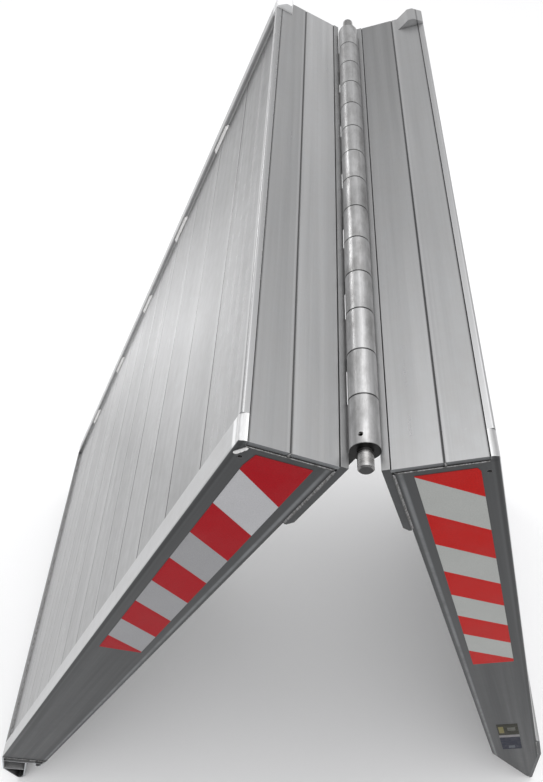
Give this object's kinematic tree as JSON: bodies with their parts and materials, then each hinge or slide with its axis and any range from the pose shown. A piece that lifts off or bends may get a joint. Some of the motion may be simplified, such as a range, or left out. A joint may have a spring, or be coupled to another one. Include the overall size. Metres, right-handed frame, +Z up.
{
  "type": "folding loading ramp",
  "caption": "Two-section folding loading ramp in welded aluminium: planked deck between raised side rails, full-width piano hinge, bed tongue and ground nose.",
  "frame": {"origin": "on the floor under the middle of the ramp's outline as it stands folded like the letter A", "axes": "+Z up, Y along the hinge with the front at -Y, +X towards the lower (ground) section"},
  "size_m": [1.3067, 0.863, 1.5313],
  "materials": {
    "deck_aluminium": "extruded, dull with drawing streaks",
    "rail_aluminium": "extruded, weathered grey",
    "end_face_aluminium": "extruded, satin",
    "end_fitting_aluminium": "mill finish",
    "hinge_barrel": "extruded, bright",
    "hinge_leaf": "mill finish",
    "hinge_pin_steel": "turned bar",
    "spring_steel": "blackened",
    "reflective_tape": "red and white diagonal bands, retroreflective film",
    "blank_label": "plain coloured panels, no text"
  },
  "bodies": {
    "upper_section": {"hinge_pin": "hinge_pin_steel", "hinge_roll_pin": "spring_steel", "upper_deck_plank_01": "deck_aluminium", "upper_deck_plank_02": "deck_aluminium", "upper_deck_plank_03": "deck_aluminium", "upper_deck_plank_04": "deck_aluminium", "upper_deck_plank_05": "deck_aluminium", "upper_deck_plank_06": "deck_aluminium", "upper_deck_plank_07": "deck_aluminium", "upper_deck_plank_08": "deck_aluminium", "upper_deck_plank_09": "deck_aluminium", "upper_deck_plank_10": "deck_aluminium", "upper_deck_plank_11": "deck_aluminium", "upper_end_beam": "end_fitting_aluminium", "upper_end_plank_high": "end_face_aluminium", "upper_end_plank_low": "end_face_aluminium", "upper_hinge_knuckles": "hinge_barrel", "upper_hinge_leaf": "hinge_leaf", "upper_nosing": "end_face_aluminium", "upper_side_rail_front": "rail_aluminium", "upper_side_rail_rear": "rail_aluminium", "upper_stop_block": "end_face_aluminium", "upper_tail_beam": "deck_aluminium", "upper_tape_front": "reflective_tape", "upper_tape_rear": "reflective_tape", "upper_tongue": "end_fitting_aluminium"},
    "lower_section": {"lower_blank_label": "blank_label", "lower_deck_plank_01": "deck_aluminium", "lower_deck_plank_02": "deck_aluminium", "lower_deck_plank_03": "deck_aluminium", "lower_deck_plank_04": "deck_aluminium", "lower_deck_plank_05": "deck_aluminium", "lower_deck_plank_06": "deck_aluminium", "lower_deck_plank_07": "deck_aluminium", "lower_deck_plank_08": "deck_aluminium", "lower_deck_plank_09": "deck_aluminium", "lower_end_beam": "end_fitting_aluminium", "lower_end_plank_high": "end_face_aluminium", "lower_end_plank_low": "end_face_aluminium", "lower_hinge_knuckles": "hinge_barrel", "lower_hinge_leaf": "hinge_leaf", "lower_nose_beam": "end_fitting_aluminium", "lower_nose_plate": "end_fitting_aluminium", "lower_nosing": "end_face_aluminium", "lower_side_rail_front": "rail_aluminium", "lower_side_rail_rear": "rail_aluminium", "lower_stop_block": "end_face_aluminium", "lower_tape_front": "reflective_tape", "lower_tape_rear": "reflective_tape"}
  },
  "joints": [
    {"name": "fold", "type": "hinge", "parent": "upper_section", "child": "lower_section", "pos_m": [0.1654, 0, 1.48209], "axis": [0, -1, 0], "range_deg": [-42.88, 138.12]}
  ]
}
